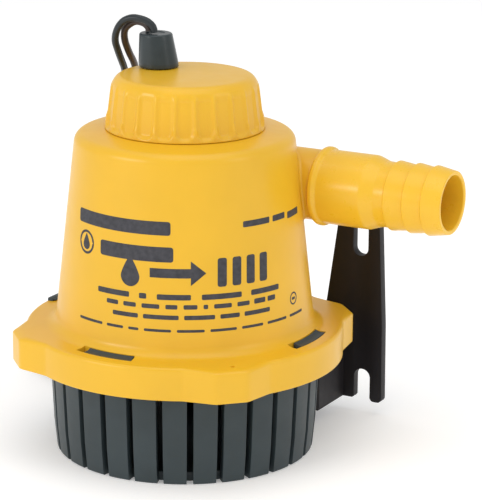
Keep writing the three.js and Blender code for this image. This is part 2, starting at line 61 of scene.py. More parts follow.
# ------------------------------------------------------------------ driving sizes
WINDOWS = (-93.5, 0.5, 90)                # bayonet windows and hooks, degrees round the pump
RIBS = 28
OUTLET_Y, OUTLET_Z = 24.0, 80.6
BOSS_R, BOSS_END, BOSS_BORE = 10.8, 34.6, 8.2
WALL_R50, WALL_SLOPE = 38.4, -0.1105      # housing radius at height 50, and its change per mm of height
RING_R, RING_TOP, RIM_R = 48.5, 39.05, 46.2
LUG_R, LUG_FLAT, LUG_FOOT = 53.0, 5.3, 16.0
SCREW_RIBS, SCREW_Z = (5, 9), 15          # ribs that the saddle's screws go through, and their height
PIN_X, PIN_Z, PIN_HOLE = -46, 20.5, 1.3
PLATE_SCREWS, PLATE_SCREW_R = (30, 150, 270), 34.2
CAP_R, CAP_RIM_Z, CAP_TAPER = 22.35, 112.6, 0.122
FLUTES, FLUTE_DEPTH, FLUTE_FOOT = 24, 0.62, 100.25
GLAND_X, GLAND_Y = -11.7, 4.45
LEAD_D = 2.2
LEAD_LENGTH = 900.0
COIL_CENTRE = (-63.0, 48.0)
CAMERA_AZIMUTH = 30.0


def wall_radius(z):
    """Radius of the housing's tapered wall at height z."""
    return WALL_R50 + WALL_SLOPE * (z - 50.0)


# ------------------------------------------------------------------ camera and light
def add_camera():
    """A long lens in front, to the right and a little above, panned to set the pump left of centre."""
    distance, height, pitch, pan = 749.7, 268.4, math.radians(15.45), math.radians(1.255)
    azimuth = math.radians(CAMERA_AZIMUTH)
    data = bpy.data.cameras.new("camera")
    data.lens = 184.0
    data.sensor_width = 36.0
    data.clip_start, data.clip_end = 0.05, 20.0
    camera = bpy.data.objects.new("camera", data)
    bpy.context.scene.collection.objects.link(camera)
    stand = Vector((math.sin(azimuth) * distance, -math.cos(azimuth) * distance, height))
    turn = Matrix.Rotation(azimuth, 4, "Z") @ Matrix.Rotation(math.pi / 2 - pitch, 4, "X")
    camera.matrix_world = Matrix.Translation(stand * MM) @ turn @ Matrix.Rotation(-pan, 4, "Y")
    bpy.context.scene.camera = camera


def add_area(name, azimuth, elevation, distance, size, power, color=(1, 1, 1)):
    """A rectangular light that faces the pump's middle; angles in degrees, the rest in metres and watts."""
    data = bpy.data.lights.new(name, "AREA")
    data.shape = "RECTANGLE"
    data.size, data.size_y = size
    data.energy = power
    data.color = color
    light = bpy.data.objects.new(name, data)
    bpy.context.scene.collection.objects.link(light)
    a, e = math.radians(azimuth), math.radians(elevation)
    away = Vector((math.sin(a) * math.cos(e), -math.cos(a) * math.cos(e), math.sin(e)))
    light.location = Vector((0.01, 0, 0.06)) + away * distance
    light.rotation_euler = away.to_track_quat("Z", "Y").to_euler()


def add_studio():
    world = bpy.data.worlds.new("studio")
    world.use_nodes = True
    background = world.node_tree.nodes["Background"]
    background.inputs["Color"].default_value = (1.0, 1.0, 1.0, 1)
    background.inputs["Strength"].default_value = 0.71
    bpy.context.scene.world = world
    add_area("key_left", CAMERA_AZIMUTH - 60, 18, 1.1, (0.55, 0.11), 2.7, (1.0, 0.97, 0.95))
    add_area("fill_right", CAMERA_AZIMUTH + 58, 24, 1.2, (0.30, 0.6), 1.2, (1.0, 0.97, 0.95))
    add_area("top", CAMERA_AZIMUTH + 10, 78, 1.0, (1.0, 1.0), 3.2)
    bpy.context.scene.view_settings.view_transform = "Standard"


def add_floor():
    mesh = bpy.data.meshes.new("floor")
    far = 4.0
    mesh.from_pydata([(-far, -far, 0), (far, -far, 0), (far, far, 0), (-far, far, 0)], [], [(0, 1, 2, 3)])
    floor = bpy.data.objects.new("floor", mesh)
    bpy.context.scene.collection.objects.link(floor)
    paint = bpy.data.materials.new("floor_paint")
    paint.use_nodes = True
    shader = paint.node_tree.nodes["Principled BSDF"]
    shader.inputs["Base Color"].default_value = (0.96, 0.96, 0.96, 1)
    shader.inputs["Roughness"].default_value = 0.9
    shader.inputs["Specular IOR Level"].default_value = 0.0
    shader.inputs["Emission Color"].default_value = (1, 1, 1, 1)
    shader.inputs["Emission Strength"].default_value = 0.20
    mesh.materials.append(paint)


# ------------------------------------------------------------------ materials
def make_material(name, color, roughness, metallic=0.0, mottle=0.05, mottle_scale=45.0,
                  grain_scale=1600.0, grain=0.12, grain_depth=0.02, stretch=(1, 1, 1),
                  specular=0.5, subsurface=0.0):
    """A procedural surface: soft colour mottling, uneven gloss and a fine moulded or drawn grain."""
    gloss_spread = 0.06
    mat = bpy.data.materials.new(name)
    mat.use_nodes = True
    nodes, links = mat.node_tree.nodes, mat.node_tree.links
    shader = nodes["Principled BSDF"]
    shader.inputs["Metallic"].default_value = metallic
    shader.inputs["Specular IOR Level"].default_value = specular
    shader.inputs["Subsurface Weight"].default_value = subsurface
    shader.inputs["Subsurface Radius"].default_value = (0.002, 0.001, 0.0004)
    shader.inputs["Subsurface Scale"].default_value = 0.5
    coords = nodes.new("ShaderNodeTexCoord")
    mapping = nodes.new("ShaderNodeMapping")
    mapping.inputs["Scale"].default_value = stretch
    links.new(coords.outputs["Object"], mapping.inputs["Vector"])

    def noise(scale, detail):
        node = nodes.new("ShaderNodeTexNoise")
        node.inputs["Scale"].default_value = scale
        node.inputs["Detail"].default_value = detail
        links.new(mapping.outputs["Vector"], node.inputs["Vector"])
        return node.outputs["Fac"]

    ramp = nodes.new("ShaderNodeValToRGB")
    dark = [c * (1 - mottle) for c in color]
    light = [min(1.0, c * (1 + mottle)) for c in color]
    ramp.color_ramp.elements[0].position = 0.32
    ramp.color_ramp.elements[0].color = (*dark, 1)
    ramp.color_ramp.elements[1].position = 0.68
    ramp.color_ramp.elements[1].color = (*light, 1)
    links.new(noise(mottle_scale, 4), ramp.inputs["Fac"])
    links.new(ramp.outputs["Color"], shader.inputs["Base Color"])

    gloss = nodes.new("ShaderNodeMapRange")
    gloss.inputs["To Min"].default_value = max(0.03, roughness - gloss_spread)
    gloss.inputs["To Max"].default_value = min(1.0, roughness + gloss_spread)
    links.new(noise(mottle_scale * 6, 6), gloss.inputs["Value"])
    links.new(gloss.outputs["Result"], shader.inputs["Roughness"])

    bump = nodes.new("ShaderNodeBump")
    bump.inputs["Strength"].default_value = grain
    bump.inputs["Distance"].default_value = grain_depth * MM
    links.new(noise(grain_scale, 3), bump.inputs["Height"])
    links.new(bump.outputs["Normal"], shader.inputs["Normal"])
    return mat


def make_ink(name, color):
    """Pad-printed ink: slightly uneven cover and a dull surface."""
    return make_material(name, color, 0.62, mottle=0.22, mottle_scale=700.0, grain_scale=4200.0, grain=0.25,
                         grain_depth=0.015, specular=0.3)


FINISHES = {
    "yellow_plastic": dict(color=(0.80, 0.458, 0.020), roughness=0.33, mottle=0.035,
                           grain_scale=1100.0, grain=0.10, specular=0.45, subsurface=0.05),
    "barb_plastic": dict(color=(0.87, 0.515, 0.028), roughness=0.29, mottle=0.03,
                         grain_scale=900.0, grain=0.08, specular=0.45, subsurface=0.05),
    "slate_plastic": dict(color=(0.035, 0.049, 0.054), roughness=0.46, mottle=0.10, mottle_scale=90.0,
                          grain_scale=2600.0, grain=0.30, grain_depth=0.03, specular=0.35),
    "black_plastic": dict(color=(0.014, 0.012, 0.0135), roughness=0.50, mottle=0.15, mottle_scale=80.0,
                          grain_scale=3000.0, grain=0.35, grain_depth=0.03, specular=0.25),
    "gland_rubber": dict(color=(0.024, 0.036, 0.041), roughness=0.30, mottle=0.12, mottle_scale=260.0,
                         grain_scale=3800.0, grain=0.30, specular=0.45),
    "seal_rubber": dict(color=(0.018, 0.018, 0.018), roughness=0.55, mottle=0.2,
                        grain_scale=4000.0, grain=0.3),
    "black_insulation": dict(color=(0.018, 0.024, 0.027), roughness=0.36, mottle=0.10, mottle_scale=300.0,
                             grain_scale=3500.0, grain=0.2, specular=0.4),
    "brown_insulation": dict(color=(0.052, 0.034, 0.026), roughness=0.38, mottle=0.12, mottle_scale=300.0,
                             grain_scale=3500.0, grain=0.2, specular=0.4),
    "white_plastic": dict(color=(0.74, 0.72, 0.66), roughness=0.42, mottle=0.04,
                          grain_scale=1500.0, grain=0.12, subsurface=0.08),
    "steel": dict(color=(0.55, 0.56, 0.58), roughness=0.28, metallic=1.0, mottle=0.06,
                  grain_scale=900.0, grain=0.25, stretch=(1, 1, 0.06)),
    "zinc": dict(color=(0.45, 0.46, 0.47), roughness=0.36, metallic=1.0, mottle=0.16, mottle_scale=220.0,
                 grain_scale=1500.0, grain=0.3),
    "ferrite": dict(color=(0.05, 0.05, 0.053), roughness=0.72, mottle=0.2, mottle_scale=300.0,
                    grain_scale=2500.0, grain=0.6, grain_depth=0.05),
    "carbon": dict(color=(0.02, 0.02, 0.022), roughness=0.6, metallic=0.2, mottle=0.25, mottle_scale=500.0,
                   grain=0.5),
    "bronze": dict(color=(0.62, 0.42, 0.18), roughness=0.38, metallic=1.0, mottle=0.14, mottle_scale=300.0,
                   grain_scale=2600.0, grain=0.4),
    "copper": dict(color=(0.72, 0.33, 0.15), roughness=0.3, metallic=1.0, mottle=0.1, mottle_scale=200.0,
                   grain_scale=700.0, grain=0.9, grain_depth=0.12, stretch=(1, 1, 0.15)),
}
MATERIALS = {slot: make_material(slot, **finish) for slot, finish in FINISHES.items()}
INK = make_ink("print_ink", (0.052, 0.052, 0.060))
TINNED = make_material("tinned_copper", (0.72, 0.66, 0.58), 0.32, 1.0, mottle=0.1, grain_scale=2400.0,
                       grain=0.5)


# ------------------------------------------------------------------ mesh helpers
def polar(r, degrees):
    a = math.radians(degrees)
    return r * math.cos(a), r * math.sin(a)


def filleted(corners, closed=True, step=12.0):
    """A 2D path through (x, y, fillet radius) corners, each rounded by an arc of steps in degrees."""
    path = []
    count = len(corners)
    for i, (x, y, radius) in enumerate(corners):
        here = np.array((x, y), float)
        if radius <= 0 or (not closed and i in (0, count - 1)):
            path.append((x, y))
            continue
        before = np.array(corners[i - 1][:2], float) - here
        after = np.array(corners[(i + 1) % count][:2], float) - here
        room = 0.49 * min(np.linalg.norm(before), np.linalg.norm(after))
        before /= np.linalg.norm(before)
        after /= np.linalg.norm(after)
        half = 0.5 * math.acos(float(np.clip(before @ after, -1, 1)))
        if half > math.radians(89):
            path.append((x, y))
            continue
        reach = min(radius / math.tan(half), room)
        radius = reach * math.tan(half)
        middle = before + after
        centre = here + middle / np.linalg.norm(middle) * radius / math.sin(half)
        start, end = here + before * reach - centre, here + after * reach - centre
        a0, a1 = math.atan2(start[1], start[0]), math.atan2(end[1], end[0])
        sweep = (a1 - a0 + math.pi) % TAU - math.pi
        pieces = max(2, math.ceil(abs(math.degrees(sweep)) / step))
        for k in range(pieces + 1):
            a = a0 + sweep * k / pieces
            path.append((centre[0] + radius * math.cos(a), centre[1] + radius * math.sin(a)))
    return path


def divided(path, longest, closed=True):
    """The same path with no stretch longer than that."""
    out = []
    pairs = list(zip(path, path[1:] + path[:1])) if closed else list(zip(path, path[1:]))
    for (x0, y0), (x1, y1) in pairs:
        pieces = max(1, math.ceil(math.hypot(x1 - x0, y1 - y0) / longest))
        out += [(x0 + (x1 - x0) * k / pieces, y0 + (y1 - y0) * k / pieces) for k in range(pieces)]
    if not closed:
        out.append(path[-1])
    return out


def mesh_object(name, verts, faces):
    """A new object from millimetre points, welded, with its faces pointing out."""
    mesh = bpy.data.meshes.new(name)
    mesh.from_pydata([tuple(c * MM for c in v) for v in verts], [], faces)
    work = bmesh.new()
    work.from_mesh(mesh)
    bmesh.ops.remove_doubles(work, verts=work.verts, dist=1e-7)
    bmesh.ops.recalc_face_normals(work, faces=work.faces)
    work.to_mesh(mesh)
    work.free()
    obj = bpy.data.objects.new(name, mesh)
    bpy.context.scene.collection.objects.link(obj)
    return obj


def revolve(name, path, columns=128, shape=None):
    """Turns a closed path of (radius, height) about Z; shape(degrees, r, z) may move each point."""
    verts, faces = [], []
    rows = len(path)
    for i in range(columns):
        degrees = 360.0 * i / columns
        for r, z in path:
            if shape:
                r, z = shape(degrees, r, z)
            verts.append((*polar(r, degrees), z))
    for i in range(columns):
        j = (i + 1) % columns
        for k in range(rows):
            n = (k + 1) % rows
            if path[k][0] < 1e-6 and path[n][0] < 1e-6:
                continue
            faces.append((i * rows + k, j * rows + k, j * rows + n, i * rows + n))
    return mesh_object(name, verts, faces)


def prism(name, outline, low, high):
    """A closed outline of (x, y) points raised from low to high."""
    n = len(outline)
    verts = [(x, y, low) for x, y in outline] + [(x, y, high) for x, y in outline]
    faces = [tuple(range(n))[::-1], tuple(range(n, 2 * n))]
    faces += [(i, (i + 1) % n, n + (i + 1) % n, n + i) for i in range(n)]
    return mesh_object(name, verts, faces)


def box_outline(x0, x1, y0, y1):
    return [(x0, y0), (x1, y0), (x1, y1), (x0, y1)]


def slab(name, x0, x1, y0, y1, z0, z1):
    return prism(name, box_outline(x0, x1, y0, y1), z0, z1)


def sector(name, r0, r1, start, end, low, high, steps=16):
    angles = [start + (end - start) * k / steps for k in range(steps + 1)]
    return prism(name, [polar(r1, a) for a in angles] + [polar(r0, a) for a in reversed(angles)], low, high)


def rod(name, r, low, high, columns=32):
    return prism(name, [polar(r, 360 * i / columns) for i in range(columns)], low, high)


def moved(obj, matrix):
    obj.data.transform(matrix)
    if matrix.determinant() < 0:
        obj.data.flip_normals()
    return obj


def shifted(obj, x, y, z):
    return moved(obj, Matrix.Translation(Vector((x, y, z)) * MM))


def spun(obj, degrees, axis="Z"):
    return moved(obj, Matrix.Rotation(math.radians(degrees), 4, axis))


def along_x(obj):
    return spun(obj, 90, "Y")


def upright_to_y(obj):
    """Stands an outline drawn in X and Y up in the XZ plane, its thickness running towards -Y."""
    return spun(obj, 90, "X")


def merged(name, objects):
    """One object holding the meshes of several."""
    work = bmesh.new()
    for obj in objects:
        work.from_mesh(obj.data)
    mesh = bpy.data.meshes.new(name)
    work.to_mesh(mesh)
    work.free()
    for obj in objects:
        bpy.data.objects.remove(obj)
    out = bpy.data.objects.new(name, mesh)
    bpy.context.scene.collection.objects.link(out)
    return out


def baked(obj):
    """Applies the object's modifiers."""
    graph = bpy.context.evaluated_depsgraph_get()
    mesh = bpy.data.meshes.new_from_object(obj.evaluated_get(graph))
    obj.modifiers.clear()
    obj.data = mesh
    return obj


def combine(obj, others, operation):
    """Joins to obj, or cuts from it, each of the others in turn."""
    for other in others:
        step = obj.modifiers.new("combine", "BOOLEAN")
        step.operation = operation
        step.solver = "MANIFOLD"
        step.object = other
        baked(obj)
        bpy.data.objects.remove(other)
    return obj


def cut(obj, *others):
    return combine(obj, others, "DIFFERENCE")


def join(obj, *others):
    return combine(obj, others, "UNION")


def bevelled(obj, width, angle=32, segments=3):
    step = obj.modifiers.new("bevel", "BEVEL")
    step.width = width * MM
    step.segments = segments
    step.limit_method = "ANGLE"
    step.angle_limit = math.radians(angle)
    return baked(obj)


def finished(obj, slot, body=None, replaces=(), crease=38, mat=None):
    """Shades the piece, gives it its material and slot, and hangs it on its body."""
    mesh = obj.data
    mesh.materials.clear()
    mesh.materials.append(mat or MATERIALS[slot])
    mesh.shade_smooth()
    mesh.set_sharp_from_angle(angle=math.radians(crease))
    if body:
        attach(obj, body)
    if replaces:
        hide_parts(*replaces)
    return obj


# ------------------------------------------------------------------ strainer
def ring_top(r):
    """Height of the ring's upper face, which sweeps up into the wall through a round fillet."""
    fillet, foot = 4.6, 43.72
    if r >= foot:
        return RING_TOP + 0.05
    return RING_TOP + 0.05 + fillet - math.sqrt(fillet ** 2 - min(foot - r, fillet - 0.05) ** 2)


def hook(turn):
    """A bayonet hook: a wide stem and a short tip, its top flush with the ring's upper face."""
    low, under, r0, r1 = 31.1, 37.2, 41.35, 44.15
    stem, tip = 8.95, 12.35
    verts, faces = [], []
    radii = np.linspace(r0, r1, 7)
    angles = np.concatenate((np.linspace(-stem, stem, 25), np.linspace(stem + 0.02, tip, 6)))
    for a in angles:
        foot = low if a <= stem + 0.001 else under
        verts += [(*polar(r, turn + a), ring_top(r) - 0.08) for r in radii]
        verts += [(*polar(r1, turn + a), foot), (*polar(r0, turn + a), foot)]
    n = len(radii) + 2
    for i in range(len(angles) - 1):
        here, there = i * n, (i + 1) * n
        faces += [(here + k, there + k, there + (k + 1) % n, here + (k + 1) % n) for k in range(n)]
    faces += [tuple(range(n)), tuple(range(len(verts) - n, len(verts)))[::-1]]
    return mesh_object("hook", verts, faces)


def latch_pin_hole():
    """Cutter for the latch pin's hole, through the strainer's ears and the latch."""
    return shifted(spun(rod("pin_hole", PIN_HOLE, -9, 9), 90, "X"), PIN_X, 0, PIN_Z)


def saddle_screw_hole(rib, r, start, end):
    """Cutter for a saddle screw's hole, pointing out through one of the strainer's ribs."""
    hole = shifted(along_x(rod("screw_hole", r, start, end)), 0, 0, SCREW_Z)
    return spun(hole, rib * 360 / RIBS)


def build_strainer():
    path = filleted([
        (0, 0, 0), (39.5, 0, 0.7), (40.4, 9, 6), (41.3, 28.8, 0.2), (41.3, 29.4, 0.2), (45.5, 29.4, 0.3),
        (45.5, 31.6, 0.3), (39.4, 31.6, 0.3), (39.4, 29.8, 0), (37.7, 29.8, 0.2), (36.5, 2.6, 1.0),
        (0, 2.6, 0),
    ])
    basket = revolve("strainer", path, RIBS * 8)
    width, top = 1.0, 28.4
    outline = filleted([(-width, -2, 0), (width, -2, 0), (width, top, 0.95), (-width, top, 0.95)], step=20)
    slots = []
    for i in range(RIBS):
        slot = spun(upright_to_y(prism("slot", outline, -44, -36.0)), -90)
        slots.append(spun(slot, 360 / RIBS * (i + 0.5) + 180))
    cut(basket, merged("slots", slots))
    for turn in WINDOWS:
        join(basket, hook(turn))
    for side in (1, -1):
        join(basket, slab("ear", -47.8, -40.2, side * 5.7 - 1, side * 5.7 + 1, 17.8, 23.2))
    cut(basket, latch_pin_hole())
    for rib in SCREW_RIBS:
        cut(basket, saddle_screw_hole(rib, 2.0, 30, 50))
    bevelled(basket, 0.28, 34, 2)
    return finished(basket, "slate_plastic", "base", ("strainer_basket",))


# ------------------------------------------------------------------ bracket and latch
def build_bracket():
    half = [
        (0, 8, 0), (26.0, 8, 1.5), (28.3, 4.9, 0.8), (33.5, 4.9, 0.8), (33.5, 14.9, 2.75),
        (39.1, 14.9, 2.75), (39.1, 4.4, 1.4), (43.2, 4.4, 1.4), (43.0, 30, 30), (41.6, 61, 40),
        (40.9, 78, 2.6), (29.1, 78, 3.6), (26.8, 60.5, 40), (23.5, 37, 20), (22.4, 31, 5), (0, 31, 0),
    ]
    other = [(-x, z, r) for x, z, r in half[1:-1]][::-1]
    bracket = spun(prism("bracket", filleted(half + other, step=10), -53, -50), 90, "X")
    slot_x, slot_low, slot_high, slot_half, slot_corner = 35.1, 52.2, 68.6, 2.6, 2.59
    arm_x, arm_thick = 26.8, 3
    yz_upright = Matrix(((0, 0, 1, 0), (1, 0, 0, 0), (0, 1, 0, 0), (0, 0, 0, 1)))
    for side in (1, -1):
        x = slot_x * side
        outline = filleted([
            (x - slot_half, slot_low, slot_corner), (x + slot_half, slot_low, slot_corner),
            (x + slot_half, slot_high, slot_corner), (x - slot_half, slot_high, slot_corner),
        ], step=10)
        cut(bracket, spun(prism("slot", outline, -60, -45), 90, "X"))
        low = min(side * arm_x, side * (arm_x + arm_thick))
        join(bracket, slab("arm", low, low + arm_thick, 32.2, 51, 5, 27))
        gusset = prism("gusset", [(50.5, 27), (50.5, 38), (47.6, 27)], low + 0.6, low + 2.4)
        join(bracket, moved(gusset, yz_upright))
    join(bracket, sector("saddle", 41.5, 43.9, 46, 134, 6, 24, 60))
    for rib in SCREW_RIBS:
        cut(bracket, saddle_screw_hole(rib, 1.9, 38, 48))
    bevelled(bracket, 0.45, 32, 3)
    return finished(bracket, "black_plastic", "base", ("mounting_bracket",))


def build_latch():
    outline = filleted([
        (-47.9, 18.3, 1.2), (-45.2, 18.3, 1.6), (-43.9, 20.5, 1.8), (-45.2, 22.9, 1.2),
        (-46.1, 23.6, 0.8), (-46.1, 39.35, 0.25), (-44.9, 39.35, 0.1), (-44.9, 39.6, 0.1),
        (-46.2, 40.05, 0.6), (-47.9, 40.05, 0.6),
    ])
    latch = spun(prism("latch", outline, -3.2, 3.2), 90, "X")
    cut(latch, latch_pin_hole())
    for k in range(3):
        z = 33.0 + 2.0 * k
        join(latch, slab("grip", -48.2, -47.5, -2.4, 2.4, z, z + 0.8))
    bevelled(latch, 0.2, 34, 2)
    return finished(latch, "slate_plastic", "latch", ("release_latch",))


# ------------------------------------------------------------------ housing
def lug_reach(degrees):
    """How far the ring's rim stands out at an angle: flat-faced lugs with slanted flanks, corners eased."""
    total, weight = 0.0, 0.0
    for offset, share in ((-0.5, 1), (-0.25, 2), (0, 3), (0.25, 2), (0.5, 1)):
        d = abs((degrees + offset) % 90 - 45)
        if d <= LUG_FLAT:
            r = LUG_R * math.cos(math.radians(LUG_FLAT)) / math.cos(math.radians(d))
        elif d < LUG_FOOT:
            p, q = np.array(polar(LUG_R, LUG_FLAT)), np.array(polar(RING_R, LUG_FOOT))
            way = q - p
            ray = np.array(polar(1.0, d))
            r = (p[0] * way[1] - p[1] * way[0]) / (ray[0] * way[1] - ray[1] * way[0])
        else:
            r = RING_R
        total += share * r
        weight += share
    return total / weight


def ring_shape(degrees, r, z):
    """Stretches the rim's outer millimetres out to the lugs."""
    if r > RIM_R and z < 40:
        r = RIM_R + (r - RIM_R) * (lug_reach(degrees) - RIM_R) / (RING_R - RIM_R)
    return r, z


def window_cutter(turn):
    """The bayonet window: most of it goes right through, its end is a recess above a short ledge."""
    inner, outer, half, ledge = 41.0, 44.5, 12.75, 9.35
    through = sector("through", inner, outer, turn - half, turn + ledge, 33, 46, 16)
    recess = sector("recess", inner, outer, turn + ledge - 0.6, turn + half, 36.9, 46, 6)
    return join(through, recess)


def boss_body():
    """The outlet boss: a short tube set to the wall's far side, with a fillet where it stands proud."""
    columns, rows, lip = 120, 10, 0.5

    def wall_x(y, z):
        return math.sqrt(max(4.0, wall_radius(z) ** 2 - y * y))

    verts, faces = [], []
    for i in range(columns):
        a = TAU * i / columns
        ny, nz = math.cos(a), math.sin(a)
        flare = 1.25 * min(1.0, max(0.12, (0.72 - ny) / 1.2))
        y, z = OUTLET_Y + (BOSS_R + flare) * ny, OUTLET_Z + (BOSS_R + flare) * nz
        foot = np.array((wall_x(y, z) - 0.12, y, z))
        yc, zc = OUTLET_Y + BOSS_R * ny, OUTLET_Z + BOSS_R * nz
        corner = np.array((wall_x(yc, zc), yc, zc))
        tip = corner + np.array((min(flare * 1.15, BOSS_END - lip - 0.1 - corner[0]), 0, 0))
        column = [foot + np.array((-1.3, 0, 0))]
        for k in range(rows + 1):
            t = k / rows
            column.append((1 - t) ** 2 * foot + 2 * t * (1 - t) * corner + t * t * tip)
        column.append(np.array((BOSS_END - lip, yc, zc)))
        for k in range(1, 5):
            b = math.pi / 8 * k
            r = BOSS_R - lip + lip * math.cos(b)
            x = BOSS_END - lip + lip * math.sin(b)
            column.append(np.array((x, OUTLET_Y + r * ny, OUTLET_Z + r * nz)))
        verts += [tuple(p) for p in column]
    n = len(verts) // columns
    for i in range(columns):
        j = (i + 1) % columns
        faces += [(i * n + k, j * n + k, j * n + k + 1, i * n + k + 1) for k in range(n - 1)]
    verts += [(24.0, OUTLET_Y, OUTLET_Z), (BOSS_END, OUTLET_Y, OUTLET_Z)]
    for i in range(columns):
        j = (i + 1) % columns
        faces.append((len(verts) - 2, j * n, i * n))
        faces.append((len(verts) - 1, i * n + n - 1, j * n + n - 1))
    return mesh_object("boss", verts, faces)


def build_housing():
    corners = [
        (45.9, 29.0, 0.25), (RING_R, 29.0, 0.5), (RING_R, RING_TOP, 1.25), (RIM_R, RING_TOP + 0.02, 0),
        (39.6, 39.35, 4.6), (wall_radius(60), 60, 0), (33.1, 98.15, 3.2), (24.6, 99.6, 0.3),
        (22.2, 99.6, 0.4), (22.2, 93.0, 0.4), (24.4, 93.0, 0.4), (24.6, 96.4, 1.0), (30.9, 95.6, 2.4),
        (36.7, 42, 2.0), (36.7, 30.2, 0.3), (38.9, 30.2, 0.3), (38.9, 35.8, 0.5), (45.9, 35.8, 0.5),
    ]
    path = divided(filleted(corners, step=9), 3.2)
    housing = revolve("housing", path, 360, ring_shape)
    chamber = revolve("chamber", [(0, 60), (35.0, 60), (31.3, 93.5), (0, 93.5)], 180)
    join(housing, cut(boss_body(), chamber))
    cut(housing, shifted(along_x(rod("bore", BOSS_BORE, 4, 60, 72)), 0, OUTLET_Y, OUTLET_Z))
    for turn in WINDOWS:
        cut(housing, window_cutter(turn))
    cut(housing, sector("notch", 45.7, 53, 172, 184.5, 28, 42, 12))
    x, y = polar(48.6, -43.5)
    cut(housing, shifted(rod("gate_mark", 0.65, RING_TOP - 0.5, 42, 20), x, y, 0))
    for angle in PLATE_SCREWS:
        x, y = polar(PLATE_SCREW_R, angle)
        join(housing, shifted(rod("boss", 2.9, 34, 44, 28), x, y, 0))
        cut(housing, shifted(rod("hole", 1.5, 33, 42, 20), x, y, 0))
    return finished(housing, "yellow_plastic", "housing", ("pump_housing",), crease=30)


def build_barb():
    spigot, throat, bore, collar, body, valley, peak = 7.6, 5.4, 8.25, 12.1, 11.3, 9.87, 10.64
    start, shoulder, body_end, tip = 24.9, BOSS_END + 0.3, 51.9, 77.7
    ridges = []
    for x in (59.6, 65.8, 71.8):
        ridges += [(valley, x - 0.45, 0.12), (peak, x, 0.18)]
    corners = [
        (throat, start, 0.2), (spigot, start, 0.4), (spigot, 28.7, 0), (6.3, 28.7, 0), (6.3, 30.7, 0),
        (spigot, 30.7, 0), (spigot, shoulder, 0), (collar, shoulder, 0.8), (collar, shoulder + 1.5, 0.8),
        (body, shoulder + 2.5, 0.9), (body + 0.02, body_end, 3.0), (valley + 0.1, body_end + 3.9, 2.0),
        *ridges, (9.6, tip, 0.28), (bore, tip, 0.5), (bore, shoulder + 4.1, 0.5),
        (throat, shoulder + 1.6, 0.5),
    ]
    barb = along_x(revolve("barb", divided(filleted(corners, step=9), 2.5), 144))
    shifted(barb, 0, OUTLET_Y, OUTLET_Z)
    return finished(barb, "barb_plastic", "housing", ("discharge_barb",), crease=34)


# ------------------------------------------------------------------ cartridge
def flute_depth(degrees, z):
    """Depth of the grip flutes at an angle and height: shallow hollows with round lower ends."""
    pitch, side_r, half, high = 360 / FLUTES, 23.0, 2.72, 113.9
    along = math.radians((degrees + pitch / 2) % pitch - pitch / 2) * side_r
    width = half
    if z < FLUTE_FOOT + half:
        width = math.sqrt(max(0.0, half ** 2 - (FLUTE_FOOT + half - z) ** 2))
    if width < 0.05 or abs(along) >= width:
        return 0.0
    shape = 1 - (along / width) ** 2
    end = min(1.0, (z - FLUTE_FOOT) / 1.1) * min(1.0, max(0.0, (high - z) / 2.4))
    return FLUTE_DEPTH * min(1.0, shape * 1.6) ** 0.8 * max(0.0, end)


def cap_shape(degrees, r, z):
    """Presses the flutes into the cap's side, straight down through the flare of its skirt."""
    if r > 21.2 and z > 100.2:
        flare = max(0.0, r - CAP_R - CAP_TAPER * (CAP_RIM_Z - z)) if z < 108 else 0.0
        r -= flute_depth(degrees, z) * (1 + flare / FLUTE_DEPTH)
    return r, z


def build_cap():
    outer = filleted([
        (0, 116.05, 0), (13, 115.95, 8), (20.3, 115.65, 3.0), (CAP_R, CAP_RIM_Z, 6), (23.38, 104.4, 3.0),
        (23.95, 102.6, 2.0), (24.1, 99.72, 0.25), (20.7, 99.72, 0.2), (20.7, 111.6, 1.4),
        (18.6, 112.8, 1.2), (0, 113.1, 0),
    ], step=9)
    side = divided(outer[:-1], 0.42, closed=False)
    path, last = [], None
    for r, z in side + [outer[-1]]:
        fine = r > 21.0 and 99.9 < z < 115.0
        if last is None or fine or math.hypot(r - last[0], z - last[1]) > 1.2 or (r, z) in outer:
            path.append((r, z))
            last = (r, z)
    cap = revolve("cap", path, FLUTES * 20, cap_shape)
    cut(cap, shifted(rod("gland_hole", 4.0, 105, 120), GLAND_X, GLAND_Y, 0))
    return finished(cap, "yellow_plastic", "cartridge", ("cartridge_cap",), crease=40)


def build_gland():
    seat, top, lean_x, lean_y = 116.2, 126.4, -0.78, -0.45
    path = filleted([
        (0, 110.6, 0), (5.0, 110.6, 0.4), (5.0, 112.5, 0.4), (3.7, 112.5, 0.2), (3.7, seat, 0),
        (6.05, seat, 0.35), (6.0, seat + 1.4, 1.5), (4.98, top, 0.6), (2.9, top, 0.3),
        (2.7, top - 0.25, 0.2), (0, top - 0.25, 0),
    ], step=10)
    path = divided(path[:-1], 1.5, closed=False) + [path[-1]]
    gland = revolve("gland", path, 72)
    for v in gland.data.vertices:
        x, y, z = (c / MM for c in v.co)
        rise = max(0.0, (z - seat) / (top - seat))
        v.co = Vector((x + GLAND_X + lean_x * rise, y + GLAND_Y + lean_y * rise, z)) * MM
    return finished(gland, "gland_rubber", "cartridge", ("cable_gland",))


def build_casing():
    corners = [
        (2.6, 46.0, 0.2), (21.0, 46.0, 0.8), (21.0, 92.6, 0.3), (21.7, 92.9, 0.2), (21.7, 94.7, 0.15),
        (20.5, 94.7, 0), (20.5, 96.7, 0), (21.7, 96.7, 0.15), (21.7, 99.4, 0.2), (20.3, 99.4, 0),
        (20.3, 104.0, 0.3), (19.0, 104.0, 0.3), (19.0, 49.0, 1.0), (9, 49.0, 0.4), (9, 54, 0.3),
        (6.4, 54, 0.3), (6.4, 48.2, 0.2), (2.6, 48.2, 0.2),
    ]
    casing = revolve("casing", divided(filleted(corners), 6), 128)
    return finished(casing, "white_plastic", "cartridge", ("motor_casing",))


